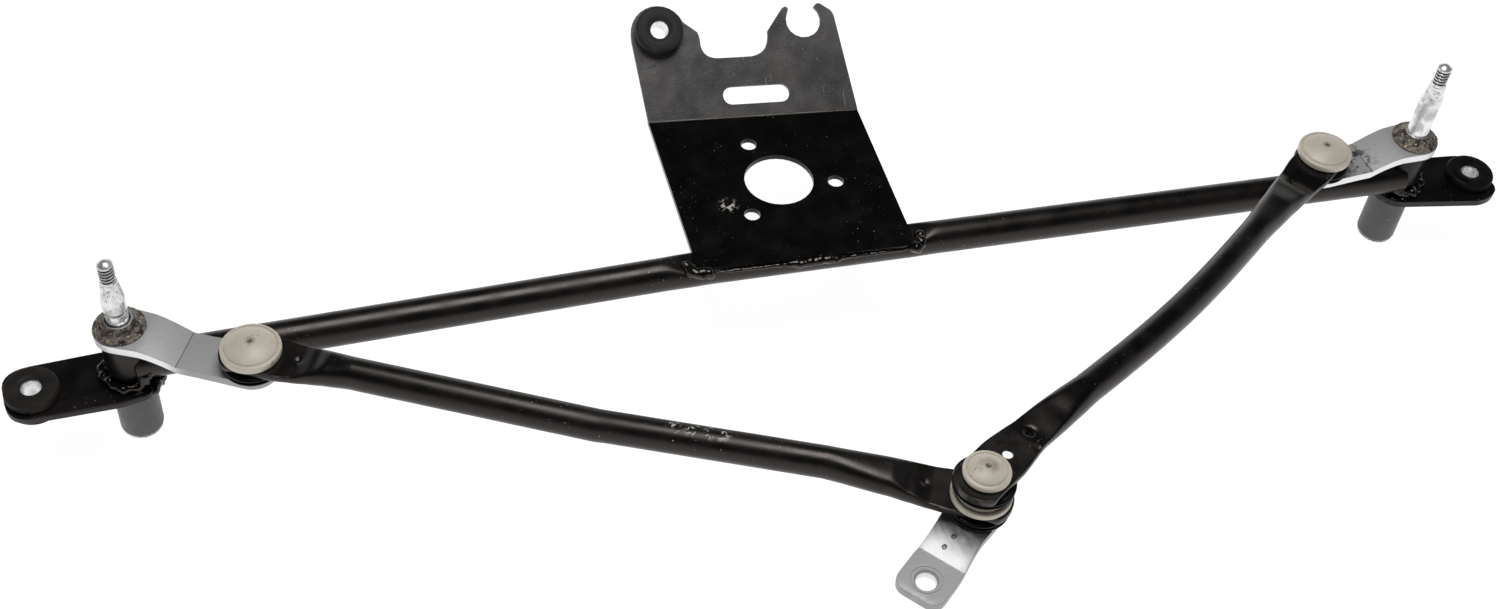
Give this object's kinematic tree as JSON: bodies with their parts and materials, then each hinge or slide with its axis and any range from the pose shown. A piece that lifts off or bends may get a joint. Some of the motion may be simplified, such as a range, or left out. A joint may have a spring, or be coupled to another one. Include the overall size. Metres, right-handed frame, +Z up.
{
  "type": "windshield wiper linkage",
  "caption": "Steel tube frame with two wiper pivot shafts, a motor bracket, two levers, two link rods on ball joints and a motor crank.",
  "frame": {"origin": "the left cowl bolt's axis at the underside of its sleeve", "axes": "+X towards the right pivot along the frame tube, +Y to the rear where the motor bracket is, +Z up along the wiper shafts"},
  "size_m": [0.8399, 0.405, 0.1361],
  "materials": {
    "black_paint": "semi-gloss black paint with small chips",
    "satin_black_paint": "satin black paint, scuffed",
    "dark_steel": "dark grey satin",
    "zinc_plate": "brushed zinc plate",
    "bright_steel": "bright machined steel",
    "staked_collar_steel": "rough brown swaged steel",
    "nylon": "satin natural nylon",
    "rubber": "matte black rubber",
    "sintered_bronze": "oiled sintered bronze"
  },
  "bodies": {
    "frame": {"frame_tube": "black_paint", "motor_bracket": "satin_black_paint", "bracket_weld_left": "black_paint", "bracket_weld_middle": "black_paint", "bracket_weld_right": "black_paint", "left_mounting_ear": "black_paint", "right_mounting_ear": "black_paint", "left_pivot_housing": "dark_steel", "right_pivot_housing": "dark_steel", "left_upper_bushing": "sintered_bronze", "left_lower_bushing": "sintered_bronze", "right_upper_bushing": "sintered_bronze", "right_lower_bushing": "sintered_bronze", "left_thrust_washer": "bright_steel", "right_thrust_washer": "bright_steel", "left_lower_washer": "bright_steel", "right_lower_washer": "bright_steel", "left_housing_weld": "black_paint", "right_housing_weld": "black_paint", "left_grommet": "rubber", "right_grommet": "rubber", "bracket_grommet": "rubber", "left_grommet_sleeve": "bright_steel", "right_grommet_sleeve": "bright_steel", "bracket_grommet_sleeve": "bright_steel"},
    "left_arm": {"left_lever": "zinc_plate", "left_wiper_shaft": "bright_steel", "left_staked_collar": "staked_collar_steel", "left_retaining_clip": "bright_steel", "left_ball_stud": "bright_steel"},
    "left_rod": {"left_link": "black_paint", "left_joint_socket": "nylon", "left_joint_seal": "rubber", "middle_lower_socket": "nylon", "middle_lower_seal": "rubber"},
    "right_rod": {"right_link": "black_paint", "middle_upper_socket": "nylon", "middle_upper_seal": "rubber", "right_joint_socket": "nylon", "right_joint_seal": "rubber"},
    "right_arm": {"right_lever": "zinc_plate", "right_wiper_shaft": "bright_steel", "right_staked_collar": "staked_collar_steel", "right_retaining_clip": "bright_steel", "right_ball_stud": "bright_steel"},
    "crank": {"motor_crank": "zinc_plate", "double_ball_stud": "bright_steel"}
  },
  "joints": [
    {"name": "left_wiper_pivot", "type": "hinge", "parent": "frame", "child": "left_arm", "pos_m": [0.0475, 0.0055, 0.0413], "axis": [0, 0, 1], "range_deg": [-45, 5]},
    {"name": "right_wiper_pivot", "type": "hinge", "parent": "frame", "child": "right_arm", "pos_m": [0.7655, 0.0055, 0.0413], "axis": [0, 0, 1], "range_deg": [-3.6, 31.6]},
    {"name": "left_ball_joint", "type": "hinge", "parent": "left_arm", "child": "left_rod", "pos_m": [0.1083, -0.0255, 0.046], "axis": [0, 0, 1], "range_deg": [-6, 53.4]},
    {"name": "middle_ball_joint", "type": "hinge", "parent": "left_rod", "child": "right_rod", "pos_m": [0.4293, -0.1893, 0.0715], "axis": [0, 0, 1], "range_deg": [-17.1, 1.95]},
    {"name": "crank_ball_joint", "type": "hinge", "parent": "left_rod", "child": "crank", "pos_m": [0.4293, -0.1893, 0.055], "axis": [0, 0, 1], "continuous": true}
  ],
  "couplings": [
    {"joint": "right_wiper_pivot", "follows": "left_wiper_pivot", "ratio": -0.7},
    {"joint": "left_ball_joint", "follows": "left_wiper_pivot", "ratio": -1.185},
    {"joint": "middle_ball_joint", "follows": "left_wiper_pivot", "ratio": 0.3786}
  ]
}
